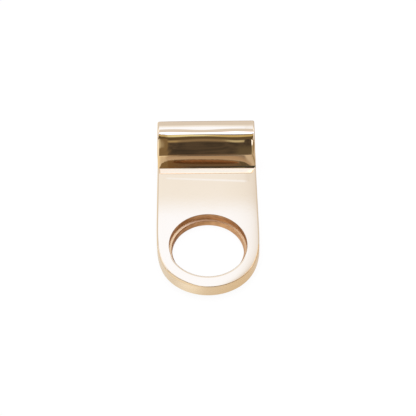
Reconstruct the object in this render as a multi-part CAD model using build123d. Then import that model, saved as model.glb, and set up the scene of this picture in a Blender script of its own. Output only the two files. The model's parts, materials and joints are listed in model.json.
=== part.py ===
from build123d import *
import os
from math import cos, hypot, radians, sin, tan

# Cylinder pull: one polished brass casting that sits behind a rim cylinder on the outside of a door.
# Millimetres. The origin is on the bore axis at the door face, +Z points out of the door,
# and +Y runs along the plate towards the finger lip.

# Plate
BASE_WIDTH = 44.2            # across the sides at the door face, and the near end's diameter there
PLATE_THICKNESS = 6.0        # door face to polished front face
SIDE_DRAFT = 1.5             # degrees that the cast sides lean in towards the front

# Stepped bore for the rim cylinder
BORE_DIAMETER = 30.6         # clears the cylinder's body
LEDGE_WIDTH = 1.2            # step between the bore and the recess for the cylinder's head
LEDGE_HEIGHT = 3.0           # door face up to the step that the head seats on

# Finger lip
BORE_TO_LIP = 43.2           # bore axis to the crease at the foot of the lip
LIP_SLOPE = 67.6             # degrees from the plate's face to the straight foot of the lip
LIP_FOOT_LENGTH = 6.1        # straight stretch from the crease to where the curl starts
CURL_RADIUS = 12.2           # outer face of the curl
CURL_DROOP = 14.0            # degrees that the curl carries on past level
LIP_THICKNESS = 4.0          # wall of the lip, and the diameter of its rounded free edge

# Worked edges
EDGE_ROUND = 0.6             # buffed outline of the front face and of the lip
CREASE_ROUND = 0.4           # inside corner between the plate and the lip
BORE_EDGE_ROUND = 0.3        # front rim of the recess
LEDGE_EDGE_ROUND = 0.2       # inner rim of the ledge
BACK_EDGE_BREAK = 0.3        # chamfer round the outline of the door face

CUT_MARGIN = 5.0             # length by which cutting shapes run past what they cut
TOUCH = 1e-3                 # how closely an edge has to lie on the outline to be picked
HALFWAY = 0.5                # share of an edge's length at which its place and direction are read

BASE_RADIUS = BASE_WIDTH / 2
BORE_RADIUS = BORE_DIAMETER / 2
RECESS_RADIUS = BORE_RADIUS + LEDGE_WIDTH
DRAFT_RATE = tan(radians(SIDE_DRAFT))


def on_slope(start, length, degrees):
    """Point reached from start by going a length at an angle above +Y, in the YZ section."""
    return (start[0] + length * cos(radians(degrees)), start[1] + length * sin(radians(degrees)))


def lip_points():
    """Corners and arc midpoints of the lip's section, as (y, z), from the crease to the heel."""
    crease = (BORE_TO_LIP, PLATE_THICKNESS)
    foot_end = on_slope(crease, LIP_FOOT_LENGTH, LIP_SLOPE)
    centre = on_slope(foot_end, CURL_RADIUS, LIP_SLOPE - 90)
    inner_radius = CURL_RADIUS - LIP_THICKNESS
    middle_angle = 90 + (LIP_SLOPE - CURL_DROOP) / 2
    tip_middle = on_slope(centre, CURL_RADIUS - LIP_THICKNESS / 2, 90 - CURL_DROOP)
    inner_foot_end = on_slope(centre, inner_radius, LIP_SLOPE + 90)
    heel = (inner_foot_end[0] - inner_foot_end[1] / tan(radians(LIP_SLOPE)), 0)
    return {
        "crease": crease,
        "foot_end": foot_end,
        "outer_middle": on_slope(centre, CURL_RADIUS, middle_angle),
        "outer_end": on_slope(centre, CURL_RADIUS, 90 - CURL_DROOP),
        "tip": on_slope(tip_middle, LIP_THICKNESS / 2, -CURL_DROOP),
        "inner_end": on_slope(centre, inner_radius, 90 - CURL_DROOP),
        "inner_middle": on_slope(centre, inner_radius, middle_angle),
        "inner_foot_end": inner_foot_end,
        "heel": heel,
    }


def side_section(points):
    """Closed section of plate and lip on the YZ plane, with the near end left long."""
    near_y = -BASE_RADIUS - CUT_MARGIN
    with BuildSketch(Plane.YZ) as section:
        with BuildLine():
            Polyline((near_y, 0), (near_y, PLATE_THICKNESS), points["crease"], points["foot_end"])
            ThreePointArc(points["foot_end"], points["outer_middle"], points["outer_end"])
            ThreePointArc(points["outer_end"], points["tip"], points["inner_end"])
            ThreePointArc(points["inner_end"], points["inner_middle"], points["inner_foot_end"])
            Polyline(points["inner_foot_end"], points["heel"], (near_y, 0))
        make_face()
    return section.sketch


def plan_outline(far_y):
    """Straight sides with a half-round near end about the bore axis, at the door face."""
    with BuildSketch(Plane.XY) as outline:
        Circle(BASE_RADIUS)
        Rectangle(BASE_WIDTH, far_y, align=(Align.CENTER, Align.MIN))
    return outline.sketch


def is_on_outline(edge):
    """True where an edge runs along the drafted sides or the near end, above the door face."""
    spot = edge.position_at(HALFWAY)
    way = edge.tangent_at(HALFWAY)
    reach = abs(spot.X) if spot.Y > 0 else hypot(spot.X, spot.Y)
    drafted_half_width = BASE_RADIUS - spot.Z * DRAFT_RATE
    is_seam_of_near_end = abs(spot.Y) < TOUCH and abs(way.Z) > hypot(way.X, way.Y)
    return abs(reach - drafted_half_width) < TOUCH and spot.Z > TOUCH and not is_seam_of_near_end


def is_circle_at(edge, radius, height):
    """True for an edge of the stepped bore that has this radius and height."""
    spot = edge.position_at(HALFWAY)
    return abs(hypot(spot.X, spot.Y) - radius) < TOUCH and abs(spot.Z - height) < TOUCH


def build_pull():
    """The whole casting: section and outline, stepped bore, then the worked edges."""
    points = lip_points()
    height = max(z for y, z in points.values()) + CUT_MARGIN
    far_y = points["tip"][0] + height * DRAFT_RATE + CUT_MARGIN

    blank = extrude(side_section(points), amount=BASE_RADIUS + CUT_MARGIN, both=True)
    pull = blank & extrude(plan_outline(far_y), amount=height, taper=SIDE_DRAFT)

    crease = pull.edges().filter_by(Axis.X).sort_by_distance((0, *points["crease"]))[0]
    pull = fillet(crease, CREASE_ROUND)
    pull = fillet(pull.edges().filter_by(is_on_outline), EDGE_ROUND)

    pull -= extrude(Plane.XY.offset(LEDGE_HEIGHT) * Circle(RECESS_RADIUS), amount=height)
    pull -= extrude(Plane.XY.offset(-CUT_MARGIN) * Circle(BORE_RADIUS), amount=height)

    rim = [e for e in pull.edges() if is_circle_at(e, RECESS_RADIUS, PLATE_THICKNESS)]
    pull = fillet(rim, BORE_EDGE_ROUND)
    ledge = [e for e in pull.edges() if is_circle_at(e, BORE_RADIUS, LEDGE_HEIGHT)]
    pull = fillet(ledge, LEDGE_EDGE_ROUND)
    door_face = pull.faces().sort_by(Axis.Z)[0]
    return chamfer(door_face.outer_wire().edges(), BACK_EDGE_BREAK)


os.makedirs("parts", exist_ok=True)
cylinder_pull = build_pull()
cylinder_pull.label = "cylinder_pull"
export_step(cylinder_pull, "parts/cylinder_pull.step")
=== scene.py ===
import json
import math

import bmesh
import bpy
import numpy as np
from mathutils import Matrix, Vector


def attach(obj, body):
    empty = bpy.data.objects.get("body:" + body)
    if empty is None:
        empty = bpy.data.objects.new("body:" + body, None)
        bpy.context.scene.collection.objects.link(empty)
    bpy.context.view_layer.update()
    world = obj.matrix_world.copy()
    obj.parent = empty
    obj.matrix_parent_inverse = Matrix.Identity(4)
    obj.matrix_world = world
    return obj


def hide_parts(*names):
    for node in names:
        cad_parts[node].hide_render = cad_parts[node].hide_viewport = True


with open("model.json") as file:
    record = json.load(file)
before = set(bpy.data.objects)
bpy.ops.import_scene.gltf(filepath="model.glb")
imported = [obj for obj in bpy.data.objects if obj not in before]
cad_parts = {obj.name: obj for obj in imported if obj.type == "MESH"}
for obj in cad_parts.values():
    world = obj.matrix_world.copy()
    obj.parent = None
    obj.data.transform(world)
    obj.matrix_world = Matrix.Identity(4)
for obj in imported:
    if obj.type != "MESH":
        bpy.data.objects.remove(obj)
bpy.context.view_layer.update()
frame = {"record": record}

# A polished brass cylinder pull lying on its back on a white floor, its lip to the far side.
# Sizes are millimetres in the part's own frame, and become metres when a mesh is made.
# Most pairs of numbers are spans: what a span governs eases in from its first number to its second,
# or lies between the two where a softness goes with it.
MM = 0.001
MOUNTS = {mount["name"]: mount for mount in frame["record"]["mounts"]}
QUARTER = math.pi / 2
UP = np.array([0.0, 0.0, 1.0])
MIRROR = np.array([-1.0, 1.0, 1.0])
ORIGIN = (0.0, 0.0, 0.0)

# Casting: the solid's form, with the slope and the curl that the lip's reflections show
BASE_RADIUS = 22.1
PLATE_THICKNESS = 6.0
DRAFT = math.radians(1.5)
BORE_RADIUS = MOUNTS["cylinder_bore"]["dims"]["r_mm"]
RECESS_RADIUS = MOUNTS["head_recess"]["dims"]["r_mm"]
LEDGE_HEIGHT = MOUNTS["head_ledge"]["pos_m"][2] / MM
CREASE_Y = 43.2
LIP_SLOPE = math.radians(67.95)
FOOT_LENGTH = 6.04
CURL_RADIUS = 12.08
CURL_DROOP = math.radians(14.8)
LIP_WALL = 4.0

# Worked edges. The near end's turns from left to right by the cosine of the angle round it, and
# to the sides' by a power of that. The lip's turns to the crown's by the share of the way up the curl.
CREASE_ROUND = {"right": 1.2, "left": 0.1}
HEEL_ROUND = 0.35
BACK_EDGE = 0.3
NEAR_END_EDGE = {"right": 0.25, "left": 1.0}
NEAR_END_TURN = (-0.60, -0.05)
SIDE_POWER = 4
PLATE_EDGE = {"right": 0.6, "left": 0.7}
LIP_EDGE = {"right": 1.5, "left": 0.8}
CROWN_EDGE = {"right": 0.65, "left": 0.8}
CROWN_TURN = (0.45, 0.70)
RIM_ROUND = 0.15
RECESS_CORNER = 0.15
LEDGE_DISH = 0.22
LEDGE_ROUND = 0.3
BORE_BREAK = 0.1

# Linishing: metal taken off the side wall at the near end's shoulders, where along the plate, how far
SHOULDER_CUT = {"right": 0.45, "left": 0.64}
SHOULDER_Y = {"right": -6.0, "left": -4.5}
SHOULDER_SPREAD = 8.0

# Buffing: metal taken off at the outline and the bore's near rim, and how far from them it fades
PLATE_ROLL = {"right": 0.06, "left": 0.03}
PLATE_ROLL_REACH = {"right": 2.5, "left": 1.2}
NEAR_END_ROLL = 0.11
NEAR_END_ROLL_REACH = 0.9
RIM_ROLL = 0.06
RIM_ROLL_REACH = 0.65
RIM_ROLL_Y = (-2.0, -10.0)
LIP_ROLL = {"right": 0.01, "left": 0.13}
LIP_ROLL_REACH = {"right": 1.5, "left": 2.5}
LIP_BUFF_Z = (11.6, 15.6)

# Unevenness that the mop leaves: ripples as radians per millimetre along each axis, waves as lengths
PLATE_RIPPLE = 0.001
LIP_RIPPLE = 0.006
RIPPLE_TURNS = ((-0.33, 0.38, -0.41), (0.57, -0.17, 0.28))
RIPPLE_STARTS = (2.1, 4.0)
LIP_WAVE = 0.043
WAVE_PLACE = (-15.9, 50.5)
WAVE_LENGTH = (28.8, 8.5)
WAVE_RISE_Y = (45.5, 48.0)
WAVE_FALL_Y = (53.0, 58.0)

# Lip set a little to the left, and its foot leaning back to the right
LIP_LEAN = 0.17
LIP_LEAN_Z = (8.0, 13.0)
FOOT_LEAN = math.radians(0.25)
FOOT_LEAN_X = (-18.0, 16.0)
FOOT_LEAN_END = 0.03
FOOT_LEAN_REACH = 3.0
FOOT_LEAN_FADE_Z = (11.6, 16.6)

# Samples along each stretch of the section and across, and the lengths below which points merge
# and slivers are taken out
PLATE_STEPS = 80
CREASE_STEPS = 10
FOOT_STEPS = 28
CURL_STEPS = 90
TIP_STEPS = 20
ACROSS_STEPS = 101
ROUND_STEPS = 8
SIDE_STEPS = 10
NEAR_END_STEPS = 180
FRONT_STEPS = 24
BACK_STEPS = 8
BORE_ROUND_STEPS = 5
BORE_WALL_STEPS = 4
MERGE_DISTANCE = 0.001
SLIVER_LENGTH = 0.0005

# Camera: where it stands and looks, read from the outline in the photograph
CAMERA_PLACE = (-4.16, -299.7, 392.1)
CAMERA_TARGET = (0.30, 25.07, 0.0)
CAMERA_LENS = 100.0

# Brass, as linear colours
BRASS_PALE = (0.95, 0.78, 0.55, 1.0)
BRASS_WARM = (0.94, 0.76, 0.52, 1.0)
# Painted shade: the darker brass in the crease
BRASS_CREASE_SHADE = (0.43, 0.42, 0.34, 1.0)
# Side tones: the belt lines and painted shade move the sides between these two
SIDE_PALE = (0.98, 0.82, 0.60, 1.0)
SIDE_TAN = (0.83, 0.55, 0.26, 1.0)
BORE_BROWN = (0.32, 0.12, 0.028, 1.0)
BORE_TAN = (0.84, 0.50, 0.25, 1.0)
BORE_NEAR = (0.40, 0.18, 0.075, 1.0)
# Painted shade on the near side of the bore, low down
BORE_PAINTED_SHADE = (0.17, 0.085, 0.035, 1.0)
LEDGE_PALE = (0.93, 0.71, 0.44, 1.0)
LEDGE_WARM = (0.74, 0.44, 0.22, 1.0)
RIM_BROWN = (0.45, 0.25, 0.11, 1.0)

# Finishes. Noises and grains are a scale per metre, or one for each axis, and a detail.
# Places and heights are metres.

# Polish on front and lip. The step's rise is in heights of the peel.
POLISH_DRIFT = (70.0, 3.0)
POLISH_HAZE = (260.0, 4.0)
POLISH_PEEL = (700.0, 2.0)
PEEL_HEIGHT = 1.5e-6
POLISH_ROUGHNESS = 0.02
HAZE_ROUGHNESS = 0.03
STOP_LINE_SLANT = 0.060
STOP_LINE_Y = (0.0354, 0.0374)
STOP_LINE_X = (-0.0185, 0.0180)
STOP_LINE_SOFT = 0.0015
STOP_LINE_RISE = 10.5
# Painted shade in the crease: a band just above the plate where the brass is darkened, from a little left
# of the middle to the right end
CREASE_SHADE_Z = (0.00630, 0.00692)
CREASE_SHADE_SOFT = 0.00008
CREASE_SHADE_X = (-0.015, -0.003)

# Belt lines on the sides
BELT_COARSE = ((60.0, 60.0, 3200.0), 3.0)
BELT_FINE = ((110.0, 110.0, 9000.0), 2.0)
BELT_COARSE_SHARE = 0.6
# Painted shade: across this span the side tone goes from pale on the left to darker tan on the right
SIDE_SHADE_X = (-0.026, 0.026)
SIDE_PAINTED_SHADE = 0.8
LINE_WARMING = 0.5
LINE_MEAN = 0.4
BELT_ROUGHNESS = 0.16
LINE_ROUGHNESS = 0.22
BELT_HEIGHT = 1.2e-5

# Tool marks and browning on the walls of recess and bore, with painted light and shade
TOOL_MARKS = ((140.0, 140.0, 2600.0), 3.0)
BORE_STAIN = (350.0, 3.0)
BORE_PATCHES = 0.85
BORE_PATCH_DROP = 0.72
RECESS_Z = (0.0028, 0.0032)
# The tan and brown shares change from left to right: partly browning, partly painted light
RECESS_TAN = 0.5
RECESS_TAN_X = (-0.016, 0.004)
RECESS_BROWN = 0.45
RECESS_BROWN_X = (0.005, 0.013)
# Painted reflection: a paler band at the foot of the recess wall, where it mirrors the lit ledge
RECESS_FOOT_REFLECTION = 0.3
RECESS_FOOT_Z = (0.0031, 0.0040)
RECESS_FOOT_SOFT = 0.0003
BORE_TAN_SHARE = 0.8
BORE_TAN_X = (-0.018, 0.010)
# Painted shade: below this height the near side darkens
NEAR_WALL_SHADE_Z = (0.0045, 0.0056)
FAR_WALL_Y = (-0.011, -0.004)
TOOL_ROUGHNESS = 0.40
MARK_ROUGHNESS = 0.2
MARK_HEIGHT = 3e-5

# Rings on the ledge and the bore's rim
RING_SCALE = 6000.0
LEDGE_STAIN = (300.0, 3.0)
STAIN_WARMING = 0.5
# Painted shade: the ledge darker and warmer in the middle and to the right
LEDGE_MIDDLE_SHADE = 0.6
LEDGE_BESIDE_X = (0.004, 0.012)
LEDGE_RIGHT_SHADE = 0.5
LEDGE_RIGHT_X = (0.002, 0.011)
RIM_Z = (0.0045, 0.0055)
FACED_ROUGHNESS = 0.30
RING_ROUGHNESS = 0.15
RING_HEIGHT = 1e-5

# Grinding lines on the back
GRIND_LINES = ((2800.0, 40.0, 40.0), 3.0)
GRIND_STAIN = (120.0, 3.0)
GRIND_ROUGHNESS = 0.28
GRIND_LINE_ROUGHNESS = 0.2
GRIND_HEIGHT = 1.2e-5

# Floor: its own white, and the painted light that the brass mirrors of it, by distance and place in metres
WHITE = (1.0, 1.0, 1.0, 1.0)
FLOOR_WHITE = (0.93, 0.93, 0.93, 1.0)
FLOOR_OWN_LIGHT = 0.92
FLOOR_BY_PULL = (0.79, 0.77, 0.75, 1.0)
FLOOR_MIDWAY = (0.48, 0.37, 0.26, 1.0)
FLOOR_MIDWAY_AWAY = (0.03, 0.10)
FLOOR_FAR = (0.38, 0.24, 0.13, 1.0)
FLOOR_FAR_AWAY = (0.09, 0.15)
FLOOR_BEYOND = (0.07, 0.055, 0.04, 1.0)
FLOOR_BEYOND_AWAY = (0.14, 0.24)
FLOOR_SPOT = (0.94, 0.95, 0.96, 1.0)
FLOOR_SPOT_PLACE = (-0.011, -0.025, 0.0)
FLOOR_SPOT_REACH = (0.011, 0.002)
FLOOR_LEFT = (0.85, 0.73, 0.53, 1.0)
FLOOR_LEFT_X = (-0.0225, -0.032)
FLOOR_RIGHT = (0.56, 0.45, 0.34, 1.0)
FLOOR_RIGHT_X = (0.031, 0.043)
FLOOR_FAR_RIGHT = (0.33, 0.24, 0.15, 1.0)
FLOOR_FAR_RIGHT_X = (0.055, 0.11)
FLOOR_REACH = 3.0
FLOOR_DROP = 0.00005

# Studio by direction. Tilt is the angle from overhead in the YZ plane, in degrees, plus towards the
# camera. Across is the sine of the angle off that plane, plus to the right, and aside its size.

# Room and soft boxes, and the degrees by which a tilt is lifted at the left
WALL = (0.74, 0.74, 0.82, 1.0)
SIDE_SOFTBOX = (1.25, 1.30, 1.45, 1.0)
SIDE_SOFTBOX_TILT = (-37.0, -18.0)
SIDE_SOFTBOX_SOFT = 1.5
SIDE_SOFTBOX_START = (0.14, 0.24)
SIDE_SOFTBOX_END = (0.70, 0.80)
FAR_RIGHT_END = (0.015, 0.12)
FAR_LEFT_END = (-0.30, -0.12)
FAR_SKIRT = (0.95, 1.03, 1.25, 1.0)
FAR_SKIRT_FOOT = (-52.0, -45.0)
FAR_SOFTBOX = (1.05, 1.24, 1.74, 1.0)
FAR_SOFTBOX_FOOT = (-40.4, -39.1)
FAR_SOFTBOX_TOP = (-27.0, -24.5)
OVERHEAD_SOFTBOX = (1.80, 1.90, 2.80, 1.0)
OVERHEAD_FAR_END = (-11.6, -10.0)
OVERHEAD_NEAR_END = (-2.6, -1.0)
OVERHEAD_COOL = (1.06, 1.43, 2.50, 1.0)
OVERHEAD_COOL_TILT = (-4.8, -1.9)
OVERHEAD_COOL_SOFT = 0.4
LEFT_ACROSS = (-0.004, -0.030)
LEFT_OVERHEAD_LIFT = 0.45
LEFT_GOLD_LIFT = 2.5
LEFT_END_ACROSS = (-0.048, -0.095)
LEFT_END_LIFT = 5.5

# Dark half on the camera's side
SHADE_DEEP = (0.050, 0.039, 0.030, 1.0)
SHADE_SOFT = (0.098, 0.072, 0.052, 1.0)
SHADE_MOTTLE = ((70.0, 6.0, 6.0), 3.0)
SHADE_MOTTLE_TURN = (0.30, 0.75)
SHADE_TILT = (-1.6, -0.4)
SHADE_END_ASIDE = (0.55, 0.80)
SHADE_FOOT = (0.16, 0.105, 0.068, 1.0)
SHADE_FOOT_TILT = (84.5, 86.5)
SHADE_FOOT_LEFT = (0.205, 0.12, 0.052, 1.0)
SHADE_FOOT_LEFT_ACROSS = (-0.008, -0.026)
SHADE_RIGHT = (0.122, 0.095, 0.061, 1.0)
SHADE_RIGHT_TILT = (40.0, 72.0)
SHADE_RIGHT_ACROSS = (0.034, 0.047)

# Boards and a streak in the dark half
GOLD_BOARD = (0.80, 0.77, 0.49, 1.0)
GOLD_TILT = (1.1, 9.7)
GOLD_SOFT = 1.2
GOLD_RIGHT = (0.55, 0.44, 0.21, 1.0)
GOLD_RIGHT_ACROSS = (0.006, 0.035)
GOLD_LEFT = (0.56, 0.46, 0.25, 1.0)
GOLD_LEFT_ACROSS = (-0.028, -0.060)
BROWN_BOARD = (0.12, 0.086, 0.047, 1.0)
BROWN_TILT = (9.7, 20.0)
STREAK = (0.26, 0.19, 0.115, 1.0)
STREAK_TILT = (21.5, 31.5)
STREAK_SOFT = 4.0
STREAK_END_ACROSS = (0.045, 0.062)
STREAK_LEFT = (0.40, 0.30, 0.16, 1.0)
STREAK_LEFT_ACROSS = (-0.004, -0.015)
STREAK_RIGHT = (0.56, 0.49, 0.32, 1.0)
STREAK_RIGHT_ACROSS = (0.010, 0.030)
STREAK_DROP = 2.5
STREAK_DROP_ACROSS = (0.018, 0.036)

# Walls beside the dark half
FACING_TILT = (12.0, 16.0)
LEFT_BROWN = (0.21, 0.145, 0.076, 1.0)
LEFT_BROWN_ACROSS = (-0.034, -0.062)
LEFT_LOW_TILT = (58.0, 76.0)
LEFT_LOW_ACROSS = (-0.025, -0.037)
LEFT_TAN = (0.52, 0.45, 0.32, 1.0)
LEFT_TAN_ACROSS = (-0.078, -0.112)
LEFT_TAN_END_TILT = (52.0, 62.0)
LEFT_TAN_END_ASIDE = (0.50, 0.70)
LEFT_WALL = (0.95, 0.91, 0.84, 1.0)
LEFT_WALL_ACROSS = (-0.11, -0.22)
RIGHT_TAN = (0.58, 0.51, 0.37, 1.0)
RIGHT_TAN_TILT = (58.0, 66.0)
RIGHT_TAN_ACROSS = (0.10, 0.17)
RIGHT_BROWN = (0.32, 0.23, 0.14, 1.0)
RIGHT_BROWN_ACROSS = (0.42, 0.50)

# Reflector and lamp, in metres
REFLECTOR_LIGHT = (2.5, 2.6, 2.9, 1.0)
REFLECTOR_FOOT = (0.60, 0.54, 0.42, 1.0)
REFLECTOR_TURN_Z = (0.0455, 0.056)
REFLECTOR_TOP = [(0.0288, 0.0257, 0.0710), (0.0456, 0.0277, 0.0666)]
REFLECTOR_BOTTOM = [(0.0456, -0.0027, 0.0366), (0.0288, -0.0073, 0.0387)]
LAMP_PLACE = (0.0, 0.3, 1.0)
LAMP_SIZE = 0.8
LAMP_POWER = 8.0


def eased(share):
    """3s^2 - 2s^3 of a share kept between 0 and 1, which is level at both ends."""
    share = np.clip(share, 0, 1)
    return share * share * (3 - 2 * share)


def eased_over(value, span):
    """Eased share of the way from the span's first number to its second."""
    first, last = span
    return eased((value - first) / (last - first))


def close_ended(count):
    """Shares from 0 to 1 that crowd at both ends: half of one less the cosine of an even half turn."""
    return (1 - np.cos(np.linspace(0, math.pi, count))) / 2


def straight(start, end, normal, count):
    """Points start plus even shares of the way, up to, but not including, end, with one normal."""
    share = np.linspace(0, 1, count, endpoint=False)[:, None]
    points = np.array(start) + share * (np.array(end) - np.array(start))
    return points, np.tile(np.array(normal, float), (count, 1))


def arc(centre, radius, first, last, count, hollow=False):
    """Points centre plus radius times (cos, sin), from the first angle up to, but not including, the last.

    The normals point away from the centre, or towards it on a hollow arc.
    """
    angle = np.linspace(first, last, count, endpoint=False)
    way = np.stack([np.cos(angle), np.sin(angle)], axis=1)
    return np.array(centre) + radius * way, -way if hollow else way


def joined(stretches):
    """One chain of points and one of normals from stretches laid end to end."""
    points, normals = zip(*stretches)
    return np.concatenate(points), np.concatenate(normals)


def section_chains(crease_round):
    """The lip's and plate's section as two chains of (y, z) points and normals, sample facing sample.

    The outer chain runs along the plate's front, then up crease, foot and curl to the middle of the
    free edge. The inner chain runs along the back, round the heel, then up the ramp and the inside of
    the curl to the same point. Both are straight lines and arcs.
    """
    up_foot = np.array([math.cos(LIP_SLOPE), math.sin(LIP_SLOPE)])
    off_foot = np.array([-math.sin(LIP_SLOPE), math.cos(LIP_SLOPE)])
    to_tip = np.array([math.sin(CURL_DROOP), math.cos(CURL_DROOP)])
    off_tip = np.array([[math.cos(CURL_DROOP), -math.sin(CURL_DROOP)]])
    crease = np.array([CREASE_Y, PLATE_THICKNESS])
    foot_end = crease + FOOT_LENGTH * up_foot
    curl = foot_end - CURL_RADIUS * off_foot
    tip = curl + (CURL_RADIUS - LIP_WALL / 2) * to_tip
    ramp_end = foot_end - LIP_WALL * off_foot
    heel = ramp_end - up_foot * ramp_end[1] / up_foot[1]

    tangent = math.tan(LIP_SLOPE / 2)
    crease_start = crease - np.array([crease_round * tangent, 0])
    crease_centre = crease_start + (0, crease_round)
    heel_start = heel - np.array([HEEL_ROUND * tangent, 0])
    heel_centre = heel_start + (0, HEEL_ROUND)
    foot_start = crease + crease_round * tangent * up_foot
    ramp_start = heel + HEEL_ROUND * tangent * up_foot
    curl_start = LIP_SLOPE + QUARTER
    curl_end = QUARTER - CURL_DROOP
    nose = (tip + LIP_WALL / 2 * off_tip, off_tip)

    outer = joined([
        straight((0, PLATE_THICKNESS), crease_start, (0, 1), PLATE_STEPS),
        arc(crease_centre, crease_round, -QUARTER, LIP_SLOPE - QUARTER, CREASE_STEPS, True),
        straight(foot_start, foot_end, off_foot, FOOT_STEPS),
        arc(curl, CURL_RADIUS, curl_start, curl_end, CURL_STEPS),
        arc(tip, LIP_WALL / 2, curl_end, -CURL_DROOP, TIP_STEPS),
        nose,
    ])
    inner = joined([
        straight((0, 0), heel_start, (0, -1), PLATE_STEPS),
        arc(heel_centre, HEEL_ROUND, -QUARTER, LIP_SLOPE - QUARTER, CREASE_STEPS),
        straight(ramp_start, ramp_end, -off_foot, FOOT_STEPS),
        arc(curl, CURL_RADIUS - LIP_WALL, curl_start, curl_end, CURL_STEPS, True),
        arc(tip, LIP_WALL / 2, curl_end - math.pi, -CURL_DROOP, TIP_STEPS),
        nose,
    ])
    return outer, inner


def edge_radii(count, plain, lip, crown):
    """Edge radius along a chain: plain on the plate, eased to the lip's, then to the crown's."""
    past_crease = np.arange(count) - PLATE_STEPS - CREASE_STEPS
    up_foot = eased(past_crease / FOOT_STEPS)
    up_curl = eased_over((past_crease - FOOT_STEPS) / CURL_STEPS, CROWN_TURN)
    return plain + (lip - plain) * up_foot + (crown - lip) * up_curl


def near_end_radii(angles):
    """Edge radius round the near end: eased from left to right, and to each side's at the sides.

    The share of a side's radius is a power of the cosine of the angle.
    """
    across = np.cos(angles)
    to_right = eased_over(across, NEAR_END_TURN)
    middle = NEAR_END_EDGE["left"] + (NEAR_END_EDGE["right"] - NEAR_END_EDGE["left"]) * to_right
    side = np.where(across > 0, PLATE_EDGE["right"], PLATE_EDGE["left"])
    return middle + (side - middle) * across ** SIDE_POWER


def shoulder_cut(y, hand):
    """Depth that the belt has taken off the side wall: a bell curve of the place along the plate."""
    return SHOULDER_CUT[hand] * np.exp(-((y - SHOULDER_Y[hand]) / SHOULDER_SPREAD) ** 2)


def edge_round(points, normals, radii, cut):
    """Rounded edge between a chain's face and the drafted side at +X, as a grid of chain by arc.

    A ball of the edge's radius touches both: its centre, plus the radius times a direction turned evenly
    from the face's normal to the side's, is a point of the edge.
    """
    side = np.array([math.cos(DRAFT), 0, math.sin(DRAFT)])
    face = np.column_stack([np.zeros(len(points)), normals])
    centre_yz = points - radii[:, None] * normals
    centre_x = BASE_RADIUS - cut - centre_yz[:, 1] * math.tan(DRAFT) - radii / math.cos(DRAFT)
    centre = np.column_stack([centre_x, centre_yz])
    turn = np.arccos(np.clip(face @ side, -1, 1))[:, None, None]
    share = np.linspace(0, 1, ROUND_STEPS + 1)[None, :, None]
    way = (np.sin((1 - share) * turn) * face[:, None, :] + np.sin(share * turn) * side) / np.sin(turn)
    return centre[:, None, :] + radii[:, None, None] * way


def side_edge(points, normals, hand, is_front):
    """Rounded edge along one side of plate and lip, front or back: edge_round, mirrored for the left."""
    plain = PLATE_EDGE[hand] if is_front else BACK_EDGE
    radii = edge_radii(len(points), plain, LIP_EDGE[hand], CROWN_EDGE[hand])
    grid = edge_round(points, normals, radii, shoulder_cut(points[:, 0], hand))
    return grid if hand == "right" else grid * MIRROR


def near_end_edge(point, normal, angles, is_front):
    """Rounded edge of the near end, front or back: an edge_round for each angle, not yet swung to it."""
    count = len(angles)
    radii = near_end_radii(angles) if is_front else np.full(count, BACK_EDGE)
    y = BASE_RADIUS * np.sin(angles)
    cut = np.where(np.cos(angles) > 0, shoulder_cut(y, "right"), shoulder_cut(y, "left"))
    return edge_round(np.tile(point, (count, 1)), np.tile(normal, (count, 1)), radii, cut)


def swung(grid, angles):
    """Each row of a grid on the XZ plane turned about the bore axis to its own angle."""
    x, z = grid[..., 0], grid[..., 2]
    return np.stack([x * np.cos(angles)[:, None], x * np.sin(angles)[:, None], z], axis=2)


def ripples(points):
    """Faint unevenness left by the mop, from 0 to 1: two plus two slanting sines, over four."""
    waves = [np.sin(points @ np.array(turns) + start) for turns, start in zip(RIPPLE_TURNS, RIPPLE_STARTS)]
    return (2 + waves[0] + waves[1]) / 4


def lip_waves(x, y):
    """Waves buffed into the curl, from 0 to 1: a cosine across times a sine along, eased in and out."""
    across = np.cos(2 * math.pi * (x - WAVE_PLACE[0]) / WAVE_LENGTH[0])
    along = np.sin(2 * math.pi * (y - WAVE_PLACE[1]) / WAVE_LENGTH[1])
    on_curl = eased_over(y, WAVE_RISE_Y) * (1 - eased_over(y, WAVE_FALL_Y))
    return (1 + across * along * on_curl) / 2


def foot_lean(x, z):
    """Depth that leans the lip's foot back: the way up the foot times a slope, faded out up the curl.

    The slope is eased in from left to right, plus an exponential rise at the right end.
    """
    up_foot = np.clip((z - PLATE_THICKNESS) / math.sin(LIP_SLOPE), 0, FOOT_LENGTH)
    at_end = np.exp((x - BASE_RADIUS) / FOOT_LEAN_REACH)
    slope = FOOT_LEAN * eased_over(x, FOOT_LEAN_X) + FOOT_LEAN_END * at_end
    return up_foot * slope * (1 - eased_over(z, FOOT_LEAN_FADE_Z))


def askew(grid):
    """Grid with the lip shifted to the left, eased in up its foot."""
    x, y, z = np.moveaxis(grid, -1, 0)
    return np.stack([x - LIP_LEAN * eased_over(z, LIP_LEAN_Z), y, z], axis=-1)


def rim_roll(x, y):
    """Depth that the mop has taken off at the bore's near rim: eased out from the rim, and in along -Y."""
    off_rim = np.hypot(x, y) - RECESS_RADIUS - RIM_ROUND
    return RIM_ROLL * (1 - eased(off_rim / RIM_ROLL_REACH)) * eased_over(y, RIM_ROLL_Y)


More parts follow.
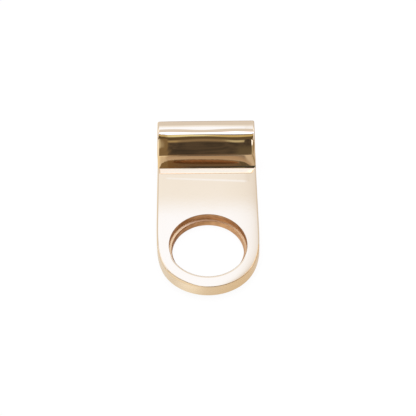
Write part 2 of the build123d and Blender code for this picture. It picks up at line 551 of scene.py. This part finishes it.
def buffed(grid, face):
    """Grid taken down along the face's normal: an exponential roll-off at the outline, plus the rest.

    The rest is ripples, waves in the curl, the foot's lean and the roll at the bore's rim.
    """
    x, y, z = np.moveaxis(grid, -1, 0)
    reach = np.where(y > 0, np.abs(x), np.hypot(x, y))
    cut = np.where(x > 0, shoulder_cut(y, "right"), shoulder_cut(y, "left"))
    inset = np.maximum(BASE_RADIUS - cut - z * math.tan(DRAFT) - reach, 0)
    on_front = np.clip((z - LEDGE_HEIGHT) / (PLATE_THICKNESS - LEDGE_HEIGHT), 0, 1)
    on_lip = eased_over(z, LIP_BUFF_Z)
    along_side = np.where(y > 0, 1.0, (x / np.maximum(reach, MERGE_DISTANCE)) ** SIDE_POWER)
    depth = np.zeros_like(x)
    for hand, is_here in (("right", x >= 0), ("left", x < 0)):
        plate = NEAR_END_ROLL + (PLATE_ROLL[hand] - NEAR_END_ROLL) * along_side
        plate_reach = NEAR_END_ROLL_REACH + (PLATE_ROLL_REACH[hand] - NEAR_END_ROLL_REACH) * along_side
        plate = plate * np.exp(-inset / plate_reach)
        lip = LIP_ROLL[hand] * np.exp(-inset / LIP_ROLL_REACH[hand])
        depth = np.where(is_here, plate + (lip - plate) * on_lip, depth)
    depth = depth + (PLATE_RIPPLE + (LIP_RIPPLE - PLATE_RIPPLE) * on_lip) * ripples(grid)
    depth = depth + 2 * LIP_WAVE * on_lip * lip_waves(x, y) + foot_lean(x, z) + rim_roll(x, y)
    return grid - (on_front * depth)[..., None] * face


def ruled(first, last, shares):
    """Grid of straight lines from each point of one row to its fellow in another."""
    share = shares[None, :, None]
    return first[:, None, :] * (1 - share) + last[:, None, :] * share


def bore_stretches():
    """Radius and height down the stepped bore, front to back, as (finish, points) of lines and arcs."""
    rim_centre = (RECESS_RADIUS + RIM_ROUND, PLATE_THICKNESS - RIM_ROUND)
    recess_top = (RECESS_RADIUS, PLATE_THICKNESS - RIM_ROUND)
    recess_foot = (RECESS_RADIUS, LEDGE_HEIGHT + RECESS_CORNER)
    corner_centre = (RECESS_RADIUS - RECESS_CORNER, LEDGE_HEIGHT + RECESS_CORNER)
    ledge_start = (RECESS_RADIUS - RECESS_CORNER, LEDGE_HEIGHT)
    ledge_end = (BORE_RADIUS + LEDGE_ROUND, LEDGE_HEIGHT - LEDGE_DISH)
    nose_centre = (BORE_RADIUS + LEDGE_ROUND, LEDGE_HEIGHT - LEDGE_DISH - LEDGE_ROUND)
    bore_top = (BORE_RADIUS, LEDGE_HEIGHT - LEDGE_DISH - LEDGE_ROUND)
    bore_foot = (BORE_RADIUS, BORE_BREAK)
    break_centre = (BORE_RADIUS + BORE_BREAK, BORE_BREAK)
    back_edge = np.array([[BORE_RADIUS + BORE_BREAK, 0.0]])
    stretches = [
        ("faced", arc(rim_centre, RIM_ROUND, QUARTER, math.pi, BORE_ROUND_STEPS)),
        ("machined", straight(recess_top, recess_foot, (-1, 0), BORE_WALL_STEPS)),
        ("faced", arc(corner_centre, RECESS_CORNER, 0, -QUARTER, BORE_ROUND_STEPS)),
        ("faced", straight(ledge_start, ledge_end, (0, 1), BORE_WALL_STEPS)),
        ("machined", arc(nose_centre, LEDGE_ROUND, QUARTER, math.pi, BORE_ROUND_STEPS)),
        ("machined", straight(bore_top, bore_foot, (-1, 0), BORE_WALL_STEPS)),
        ("machined", arc(break_centre, BORE_BREAK, math.pi, 3 * QUARTER, BORE_ROUND_STEPS)),
    ]
    chains = [points for _, (points, _) in stretches]
    ends = [points[:1] for points in chains[1:]] + [back_edge]
    return [(finish, np.concatenate([points, end]))
            for (finish, _), points, end in zip(stretches, chains, ends)]


def turned(profile, angles):
    """Surface of revolution: each (radius, height) of the profile turned to each angle."""
    radius = profile[None, :, 0]
    x = np.cos(angles)[:, None] * radius
    y = np.sin(angles)[:, None] * radius
    return np.stack([x, y, np.broadcast_to(profile[None, :, 1], x.shape)], axis=2)


def outline_patches():
    """Edges, lip and side walls as (finish, grid) patches, and the outlines of front and back inside them.

    The lip is the section carried across, the near end is the plate's edge swung round, and the side
    walls are ruled between the front's edges and the back's.
    """
    chains = {hand: section_chains(crease_round) for hand, crease_round in CREASE_ROUND.items()}
    near = np.linspace(math.pi, 2 * math.pi, NEAR_END_STEPS + 1)
    near_ways = np.column_stack([np.cos(near), np.sin(near)])
    shares = close_ended(ACROSS_STEPS)
    plate = slice(0, PLATE_STEPS)
    lip = slice(PLATE_STEPS, None)
    patches = []
    outlines = []
    walls = {"right": [], "left": [], "near": []}
    for number, is_front in enumerate((True, False)):
        section = {hand: chains[hand][number][0] for hand in chains}
        normals = chains["right"][number][1]
        face = np.column_stack([np.zeros(len(normals)), normals])[:, None, :]
        finish = "polished" if is_front else "linished"
        reach = {}
        for hand in ("right", "left"):
            grid = side_edge(section[hand], normals, hand, is_front)
            reach[hand] = grid[:, 0, 0].copy()
            grid = buffed(grid, face)
            walls[hand].append(grid[:, -1])
            patches.append((finish, grid))

        across = reach["left"][:, None] * (1 - shares) + reach["right"][:, None] * shares
        yz = ruled(section["left"], section["right"], eased(shares))
        band = np.concatenate([across[..., None], yz], axis=2)[lip]
        patches.append((finish, buffed(band, face[lip])))

        grid = near_end_edge(section["right"][0], normals[0], near, is_front)
        near_reach = grid[:, :1, 0].copy()
        grid = buffed(swung(grid, near), UP)
        walls["near"].append(grid[:, -1])
        patches.append(("linished", grid))

        sides = {hand: np.column_stack([reach[hand], section[hand][:, 0]])[plate] for hand in reach}
        crease = np.column_stack([across[PLATE_STEPS], yz[PLATE_STEPS, :, 0]])
        near_end = (near_reach * near_ways)[1:]
        plan = np.concatenate([sides["right"], crease[::-1], sides["left"][::-1], near_end])
        outlines.append(np.column_stack([plan, np.full(len(plan), section["right"][0, 1])]))

    for first, last in walls.values():
        patches.append(("linished", ruled(first, last, close_ended(SIDE_STEPS))))
    return patches, outlines


def casting_patches():
    """Every face of the casting as (finish, grid of points), with neighbours sharing their edge points.

    The bore is turned, and front and back are ruled from its rims to the outlines.
    """
    patches, (front_outline, back_outline) = outline_patches()
    angles = np.arctan2(front_outline[:, 1], front_outline[:, 0])
    stretches = bore_stretches()
    for finish, profile in stretches:
        patches.append((finish, buffed(turned(profile, angles), UP)))
    front_rim = turned(stretches[0][1][:1], angles)[:, 0]
    back_rim = turned(stretches[-1][1][-1:], angles)[:, 0]
    patches.append(("polished", buffed(ruled(front_rim, front_outline, close_ended(FRONT_STEPS)), UP)))
    patches.append(("ground", ruled(back_rim, back_outline, close_ended(BACK_STEPS))))
    return [(finish, askew(grid)) for finish, grid in patches]


def grid_quads(rows, columns, start):
    """Corner numbers of the quads of a grid whose points are numbered row by row from start."""
    number = start + np.arange(rows * columns).reshape(rows, columns)
    corners = [number[:-1, :-1], number[1:, :-1], number[1:, 1:], number[:-1, 1:]]
    return np.stack([corner.ravel() for corner in corners], axis=1)


def make_casting(finishes):
    """One closed mesh from the patches: shared edges merged, faces turned outwards, each in its finish."""
    patches = casting_patches()
    names = list(finishes)
    quads = []
    finish_numbers = []
    start = 0
    for finish, grid in patches:
        rows, columns = grid.shape[:2]
        quads.append(grid_quads(rows, columns, start))
        finish_numbers.append(np.full(len(quads[-1]), names.index(finish), np.int32))
        start += rows * columns
    points = np.concatenate([grid.reshape(-1, 3) for _, grid in patches])

    mesh = bpy.data.meshes.new("pull_casting")
    mesh.from_pydata((points * MM).tolist(), [], np.concatenate(quads).tolist())
    mesh.polygons.foreach_set("material_index", np.concatenate(finish_numbers))
    work = bmesh.new()
    work.from_mesh(mesh)
    bmesh.ops.remove_doubles(work, verts=work.verts, dist=MERGE_DISTANCE * MM)
    bmesh.ops.dissolve_degenerate(work, edges=work.edges, dist=SLIVER_LENGTH * MM)
    bmesh.ops.recalc_face_normals(work, faces=work.faces)
    work.to_mesh(mesh)
    work.free()
    mesh.polygons.foreach_set("use_smooth", np.ones(len(mesh.polygons), bool))
    for name in names:
        mesh.materials.append(finishes[name])
    casting = bpy.data.objects.new("pull_casting", mesh)
    bpy.context.scene.collection.objects.link(casting)
    return casting


class Value:
    """A number leaving a node: sums, differences and products of it add Math nodes to its bench."""

    def __init__(self, bench, socket):
        self.bench = bench
        self.socket = socket

    def __add__(self, other):
        return self.bench.maths("ADD", self, other)

    def __radd__(self, other):
        return self.bench.maths("ADD", other, self)

    def __sub__(self, other):
        return self.bench.maths("SUBTRACT", self, other)

    def __rsub__(self, other):
        return self.bench.maths("SUBTRACT", other, self)

    def __mul__(self, other):
        return self.bench.maths("MULTIPLY", self, other)

    def __rmul__(self, other):
        return self.bench.maths("MULTIPLY", other, self)


class Bench:
    """The node tree of one finish, floor, card or world."""

    def __init__(self, owner):
        owner.use_nodes = True
        self.tree = owner.node_tree
        self.tree.nodes.clear()

    def node(self, kind, settings=None, sockets=None, output=0):
        """A node of this kind: settings first, then values or links on its sockets; gives one output."""
        made = self.tree.nodes.new(kind)
        for name, setting in (settings or {}).items():
            setattr(made, name, setting)
        for key, value in (sockets or {}).items():
            if isinstance(value, Value):
                self.tree.links.new(value.socket, made.inputs[key])
            else:
                made.inputs[key].default_value = value
        return Value(self, made.outputs[output]) if made.outputs else None

    def maths(self, operation, first, second=0.0):
        return self.node("ShaderNodeMath", {"operation": operation}, {0: first, 1: second})

    def place(self):
        """Place on the piece, in metres in the part's frame."""
        return self.node("ShaderNodeTexCoord", output="Object")

    def scaled(self, vector, scale):
        return self.node("ShaderNodeVectorMath", {"operation": "MULTIPLY"}, {0: vector, 1: scale})

    def distance(self, place, point):
        return self.node("ShaderNodeVectorMath", {"operation": "DISTANCE"}, {0: place, 1: point},
                         output="Value")

    def axis(self, vector, letter):
        return self.node("ShaderNodeSeparateXYZ", sockets={0: vector}, output=letter)

    def noise(self, place, scale, detail):
        return self.node("ShaderNodeTexNoise", sockets={"Vector": place, "Scale": scale, "Detail": detail})

    def grain(self, place, scales, detail):
        """Noise with a scale of its own along each axis."""
        return self.noise(self.scaled(place, scales), 1.0, detail)

    def mix(self, share, first, second):
        """Colour between two, by a share from 0 to 1."""
        return self.node("ShaderNodeMix", {"data_type": "RGBA"}, {0: share, 6: first, 7: second}, output=2)

    def layered(self, colour, layers):
        """Colour with layers laid over it in turn, each a share from 0 to 1 and a colour."""
        for share, layer in layers:
            colour = self.mix(share, colour, layer)
        return colour

    def ease(self, value, span):
        """0 up to the span's first number, 1 from its second on, smooth between."""
        first, last = span
        return self.node("ShaderNodeMapRange", {"interpolation_type": "SMOOTHSTEP"},
                         {"Value": value, "From Min": first, "From Max": last})

    def band(self, value, span, soft):
        """1 within the span, 0 outside, with soft edges."""
        low, high = span
        past_high = self.ease(value, (high - soft, high + soft))
        return self.ease(value, (low - soft, low + soft)) * (1 - past_high)

    def brass(self, tone, roughness, height, rise):
        """Bare metal of this tone and roughness, with a relief of this rise in metres, as the surface."""
        relief = self.node("ShaderNodeBump", sockets={"Strength": 1.0, "Distance": rise, "Height": height})
        metal = self.node("ShaderNodeBsdfPrincipled", sockets={
            "Base Color": tone, "Metallic": 1.0, "Roughness": roughness, "Normal": relief})
        self.node("ShaderNodeOutputMaterial", sockets={"Surface": metal})


def polished(bench, place):
    """Mirror polish on front and lip: tone and haze drift a little, and the mop leaves a faint peel.

    A low step crosses the plate where the mop stops short of the lip, and painted shade darkens the crease.
    """
    drift = bench.noise(place, *POLISH_DRIFT)
    haze = bench.noise(place, *POLISH_HAZE)
    peel = bench.noise(place, *POLISH_PEEL)
    x = bench.axis(place, "X")
    stop_line = bench.ease(bench.axis(place, "Y") + STOP_LINE_SLANT * x, STOP_LINE_Y)
    stop_line = stop_line * bench.band(x, STOP_LINE_X, STOP_LINE_SOFT)
    # Painted shade: a darkened band in the crease, from a little left of the middle on
    crease_shade = bench.band(bench.axis(place, "Z"), CREASE_SHADE_Z, CREASE_SHADE_SOFT)
    crease_shade = crease_shade * bench.ease(x, CREASE_SHADE_X)
    tone = bench.mix(crease_shade, bench.mix(drift, BRASS_PALE, BRASS_WARM), BRASS_CREASE_SHADE)
    roughness = POLISH_ROUGHNESS + HAZE_ROUGHNESS * haze
    bench.brass(tone, roughness, peel + STOP_LINE_RISE * stop_line, PEEL_HEIGHT)


def linished(bench, place):
    """Sides rubbed on a belt: fine lines level round the outline, and painted shade that turns the tone
    darker and warmer to the right.
    """
    lines = BELT_COARSE_SHARE * bench.grain(place, *BELT_COARSE)
    lines = lines + (1 - BELT_COARSE_SHARE) * bench.grain(place, *BELT_FINE)
    # Painted shade darkens and warms the tone to the right; the belt lines add their own warmth
    warmth_and_painted_shade = SIDE_PAINTED_SHADE * bench.ease(bench.axis(place, "X"), SIDE_SHADE_X)
    warmth_and_painted_shade = warmth_and_painted_shade + LINE_WARMING * (lines - LINE_MEAN)
    tone = bench.mix(warmth_and_painted_shade, SIDE_PALE, SIDE_TAN)
    bench.brass(tone, BELT_ROUGHNESS + LINE_ROUGHNESS * lines, lines, BELT_HEIGHT)


def machined(bench, place):
    """Walls of the bore: browned metal with level tool marks. Painted shade darkens the near side, darkest
    low down; painted light pales the recess wall's foot, and the tan shares that grow to the right are
    partly browning and partly painted light.
    """
    marks = bench.grain(place, *TOOL_MARKS)
    stain = bench.noise(place, *BORE_STAIN)
    x = bench.axis(place, "X")
    z = bench.axis(place, "Z")
    patchy = BORE_PATCHES * (marks + stain) - BORE_PATCH_DROP
    # Shares that change from left to right: partly browning, partly painted light
    recess_share = RECESS_TAN * bench.ease(x, RECESS_TAN_X) - RECESS_BROWN * bench.ease(x, RECESS_BROWN_X)
    # Painted reflection of the lit ledge: paler at the recess wall's foot
    recess_share = recess_share + RECESS_FOOT_REFLECTION * bench.band(z, RECESS_FOOT_Z, RECESS_FOOT_SOFT)
    bore_share = BORE_TAN_SHARE * bench.ease(x, BORE_TAN_X)
    share = patchy + bore_share + bench.ease(z, RECESS_Z) * (recess_share - bore_share)
    # Painted shade: the near side is darker, darkest low down
    near_tone_in_shade = bench.mix(bench.ease(z, NEAR_WALL_SHADE_Z), BORE_PAINTED_SHADE, BORE_NEAR)
    far_tone = bench.mix(share, BORE_BROWN, BORE_TAN)
    tone = bench.mix(bench.ease(bench.axis(place, "Y"), FAR_WALL_Y), near_tone_in_shade, far_tone)
    bench.brass(tone, TOOL_ROUGHNESS + MARK_ROUGHNESS * marks, marks, MARK_HEIGHT)


def faced(bench, place):
    """Ledge and rim of the bore: faced with rings about the axis, the ledge paler than the walls. Painted
    shade makes the ledge darker and warmer in the middle and to the right.
    """
    radius = bench.distance(bench.scaled(place, (1.0, 1.0, 0.0)), ORIGIN)
    rings = bench.node("ShaderNodeTexNoise", {"noise_dimensions": "1D"}, {"W": radius, "Scale": RING_SCALE})
    x = bench.axis(place, "X")
    # Painted shade in the middle and to the right; the stain adds its own warmth
    in_middle = 1 - bench.ease(bench.maths("ABSOLUTE", x), LEDGE_BESIDE_X)
    warmth_and_painted_shade = STAIN_WARMING * bench.noise(place, *LEDGE_STAIN) + LEDGE_MIDDLE_SHADE * in_middle
    warmth_and_painted_shade = warmth_and_painted_shade + LEDGE_RIGHT_SHADE * bench.ease(x, LEDGE_RIGHT_X)
    on_rim = bench.ease(bench.axis(place, "Z"), RIM_Z)
    tone = bench.mix(on_rim, bench.mix(warmth_and_painted_shade, LEDGE_PALE, LEDGE_WARM), RIM_BROWN)
    bench.brass(tone, FACED_ROUGHNESS + RING_ROUGHNESS * rings, rings, RING_HEIGHT)


def ground(bench, place):
    """Back: ground flat, with straight lines along the plate."""
    lines = bench.grain(place, *GRIND_LINES)
    tone = bench.mix(bench.noise(place, *GRIND_STAIN), BRASS_WARM, LEDGE_WARM)
    bench.brass(tone, GRIND_ROUGHNESS + GRIND_LINE_ROUGHNESS * lines, lines, GRIND_HEIGHT)


def brass_finish(name, lay_out):
    """Material of this name, its nodes laid out by a function of the bench and the place on the piece."""
    finish = bpy.data.materials.new(name)
    bench = Bench(finish)
    lay_out(bench, bench.place())
    return finish


def flat_mesh(name, corners, material):
    """A four-cornered card or floor, with corners in metres."""
    mesh = bpy.data.meshes.new(name)
    mesh.from_pydata(corners, [], [(0, 1, 2, 3)])
    mesh.materials.append(material)
    card = bpy.data.objects.new(name, mesh)
    bpy.context.scene.collection.objects.link(card)
    return card


def floor_reflection(bench):
    """Painted light in what the brass mirrors of the floor: a pool of light by the pull, dimmer and warmer
    with distance, and tones by the place beside it.
    """
    place = bench.place()
    away = bench.distance(place, ORIGIN)
    from_spot = bench.distance(place, FLOOR_SPOT_PLACE)
    beside = bench.axis(place, "X")
    return bench.layered(FLOOR_BY_PULL, [
        (bench.ease(away, FLOOR_MIDWAY_AWAY), FLOOR_MIDWAY),
        (bench.ease(away, FLOOR_FAR_AWAY), FLOOR_FAR),
        (bench.ease(away, FLOOR_BEYOND_AWAY), FLOOR_BEYOND),
        (bench.ease(from_spot, FLOOR_SPOT_REACH), FLOOR_SPOT),
        (bench.ease(beside, FLOOR_LEFT_X), FLOOR_LEFT),
        (bench.ease(beside, FLOOR_RIGHT_X), FLOOR_RIGHT),
        (bench.ease(beside, FLOOR_FAR_RIGHT_X), FLOOR_FAR_RIGHT),
    ])


def white_floor():
    """Plain white floor: mostly its own white to the eye, and it keeps a faint shadow."""
    material = bpy.data.materials.new("white_floor")
    bench = Bench(material)
    seen = bench.node("ShaderNodeLightPath", output="Is Camera Ray")
    mirrored = bench.node("ShaderNodeLightPath", output="Is Glossy Ray")
    passed = bench.node("ShaderNodeLightPath", output="Is Transmission Ray")
    share = FLOOR_OWN_LIGHT * bench.maths("MAXIMUM", seen, bench.maths("MAXIMUM", mirrored, passed))
    # In reflections the floor shows painted light instead of its white
    tone = bench.mix(mirrored, WHITE, floor_reflection(bench))
    paint = bench.node("ShaderNodeBsdfDiffuse", sockets={"Color": FLOOR_WHITE})
    glow = bench.node("ShaderNodeEmission", sockets={"Color": tone, "Strength": 1.0})
    mixed = bench.node("ShaderNodeMixShader", sockets={0: share, 1: paint, 2: glow})
    bench.node("ShaderNodeOutputMaterial", sockets={"Surface": mixed})
    ways = [(-1, -1), (1, -1), (1, 1), (-1, 1)]
    flat_mesh("floor", [(x * FLOOR_REACH, y * FLOOR_REACH, -FLOOR_DROP) for x, y in ways], material)


def soft_boxes(bench, tilt, overhead_tilt, across, aside):
    """Layers for the soft boxes: at the sides, far with a dimmer skirt, and overhead with a cool strip."""
    beside = bench.ease(aside, SIDE_SOFTBOX_START) * (1 - bench.ease(aside, SIDE_SOFTBOX_END))
    within = (1 - bench.ease(across, FAR_RIGHT_END)) * bench.ease(across, FAR_LEFT_END)
    below_top = 1 - bench.ease(tilt, FAR_SOFTBOX_TOP)
    overhead = bench.ease(tilt, OVERHEAD_FAR_END) * (1 - bench.ease(overhead_tilt, OVERHEAD_NEAR_END))
    return [
        (beside * bench.band(tilt, SIDE_SOFTBOX_TILT, SIDE_SOFTBOX_SOFT), SIDE_SOFTBOX),
        (within * bench.ease(tilt, FAR_SKIRT_FOOT) * below_top, FAR_SKIRT),
        (within * bench.ease(tilt, FAR_SOFTBOX_FOOT) * below_top, FAR_SOFTBOX),
        (overhead, OVERHEAD_SOFTBOX),
        (bench.band(overhead_tilt, OVERHEAD_COOL_TILT, OVERHEAD_COOL_SOFT), OVERHEAD_COOL),
    ]


def dark_half(bench, way, tilt, overhead_tilt, across, aside):
    """Layers for the dark half on the camera's side: mottled, lighter at its foot and low to the right."""
    shade = bench.ease(overhead_tilt, SHADE_TILT) * (1 - bench.ease(aside, SHADE_END_ASIDE))
    mottle = bench.ease(bench.grain(way, *SHADE_MOTTLE), SHADE_MOTTLE_TURN)
    foot_tone = bench.mix(bench.ease(across, SHADE_FOOT_LEFT_ACROSS), SHADE_FOOT, SHADE_FOOT_LEFT)
    low = shade * bench.ease(tilt, SHADE_RIGHT_TILT)
    return [
        (shade, bench.mix(mottle, SHADE_DEEP, SHADE_SOFT)),
        (shade * bench.ease(tilt, SHADE_FOOT_TILT), foot_tone),
        (low * bench.ease(across, SHADE_RIGHT_ACROSS), SHADE_RIGHT),
    ]


def boards(bench, tilt, gold_tilt, across):
    """Layers for the boards in the dark half: gold, brown past it, and a streak lower to the right."""
    gold_tone = bench.layered(GOLD_BOARD, [
        (bench.ease(across, GOLD_RIGHT_ACROSS), GOLD_RIGHT),
        (bench.ease(across, GOLD_LEFT_ACROSS), GOLD_LEFT),
    ])
    streak_tone = bench.layered(STREAK, [
        (bench.ease(across, STREAK_LEFT_ACROSS), STREAK_LEFT),
        (bench.ease(across, STREAK_RIGHT_ACROSS), STREAK_RIGHT),
    ])
    streak_tilt = tilt - STREAK_DROP * bench.ease(across, STREAK_DROP_ACROSS)
    before_end = 1 - bench.ease(across, STREAK_END_ACROSS)
    return [
        (bench.band(gold_tilt, BROWN_TILT, GOLD_SOFT), BROWN_BOARD),
        (bench.band(gold_tilt, GOLD_TILT, GOLD_SOFT), gold_tone),
        (bench.band(streak_tilt, STREAK_TILT, STREAK_SOFT) * before_end, streak_tone),
    ]


def side_walls(bench, tilt, across, aside):
    """Layers for the walls beside the dark half.

    They are brown, then tan, then pale going left, and tan, then brown going right.
    """
    facing = bench.ease(tilt, FACING_TILT)
    left_low = bench.ease(tilt, LEFT_LOW_TILT) * bench.ease(across, LEFT_LOW_ACROSS)
    left_brown = bench.maths("MAXIMUM", facing * bench.ease(across, LEFT_BROWN_ACROSS), left_low)
    left_tan = facing * bench.ease(across, LEFT_TAN_ACROSS) * (1 - bench.ease(tilt, LEFT_TAN_END_TILT))
    left_tan = left_tan * (1 - bench.ease(aside, LEFT_TAN_END_ASIDE))
    return [
        (left_brown, LEFT_BROWN),
        (left_tan, LEFT_TAN),
        (facing * bench.ease(across, LEFT_WALL_ACROSS), LEFT_WALL),
        (bench.ease(tilt, RIGHT_TAN_TILT) * bench.ease(across, RIGHT_TAN_ACROSS), RIGHT_TAN),
        (facing * bench.ease(across, RIGHT_BROWN_ACROSS), RIGHT_BROWN),
    ]


def studio_world():
    """Pale room with soft boxes far and overhead, and a dark half with boards on the camera's side.

    At the left the overhead box ends sooner, and the dark half and its boards start sooner: their tilt
    is read with a lift.
    """
    world = bpy.data.worlds.new("studio")
    bpy.context.scene.world = world
    bench = Bench(world)
    way = bench.node("ShaderNodeTexCoord", output="Generated")
    across = bench.axis(way, "X")
    aside = bench.maths("ABSOLUTE", across)
    tilt = bench.maths("ARCTAN2", -1.0 * bench.axis(way, "Y"), bench.axis(way, "Z")) * math.degrees(1.0)
    to_left = bench.ease(across, LEFT_ACROSS)
    end_lift = LEFT_END_LIFT * bench.ease(across, LEFT_END_ACROSS)
    overhead_tilt = tilt + LEFT_OVERHEAD_LIFT * to_left + end_lift
    gold_tilt = tilt + LEFT_GOLD_LIFT * to_left + end_lift
    colour = bench.layered(WALL, soft_boxes(bench, tilt, overhead_tilt, across, aside))
    colour = bench.layered(colour, dark_half(bench, way, tilt, overhead_tilt, across, aside))
    colour = bench.layered(colour, boards(bench, tilt, gold_tilt, across))
    colour = bench.layered(colour, side_walls(bench, tilt, across, aside))
    light = bench.node("ShaderNodeBackground", sockets={"Color": colour, "Strength": 1.0})
    bench.node("ShaderNodeOutputWorld", sockets={"Surface": light})


def right_reflector():
    """Small bright card over the plate's right, for the brass alone: the glint on the lip's right end."""
    material = bpy.data.materials.new("right_reflector")
    bench = Bench(material)
    up_card = bench.ease(bench.axis(bench.place(), "Z"), REFLECTOR_TURN_Z)
    tone = bench.mix(up_card, REFLECTOR_FOOT, REFLECTOR_LIGHT)
    glow = bench.node("ShaderNodeEmission", sockets={"Color": tone, "Strength": 1.0})
    bench.node("ShaderNodeOutputMaterial", sockets={"Surface": glow})
    card = flat_mesh("right_reflector", REFLECTOR_TOP + REFLECTOR_BOTTOM, material)
    card.visible_camera = False
    card.visible_diffuse = False
    card.visible_shadow = False


def standing(name, data, place, target):
    """Lamp or camera that stands at a place and looks at a target, both in metres."""
    holder = bpy.data.objects.new(name, data)
    holder.location = place
    holder.rotation_euler = (target - place).to_track_quat("-Z", "Y").to_euler()
    bpy.context.scene.collection.objects.link(holder)
    return holder


def soft_lamp():
    """Broad lamp above and beyond, for the floor's level and a soft shadow; left out of reflections."""
    lamp = bpy.data.lights.new("soft_lamp", "AREA")
    lamp.size = LAMP_SIZE
    lamp.energy = LAMP_POWER
    holder = standing("soft_lamp", lamp, Vector(LAMP_PLACE), Vector(ORIGIN))
    holder.visible_glossy = False


def add_camera():
    """Camera at the photograph's angle, with the plain lens that its perspective asks for."""
    camera = bpy.data.cameras.new("camera")
    camera.lens = CAMERA_LENS
    holder = standing("camera", camera, Vector(CAMERA_PLACE) * MM, Vector(CAMERA_TARGET) * MM)
    bpy.context.scene.camera = holder


casting = make_casting({
    "polished": brass_finish("polished_brass", polished),
    "linished": brass_finish("linished_brass", linished),
    "machined": brass_finish("machined_brass", machined),
    "faced": brass_finish("faced_brass", faced),
    "ground": brass_finish("ground_brass", ground),
})
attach(casting, "root")
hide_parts("cylinder_pull")
white_floor()
right_reflector()
studio_world()
soft_lamp()
add_camera()
bpy.context.scene.view_settings.view_transform = "Standard"
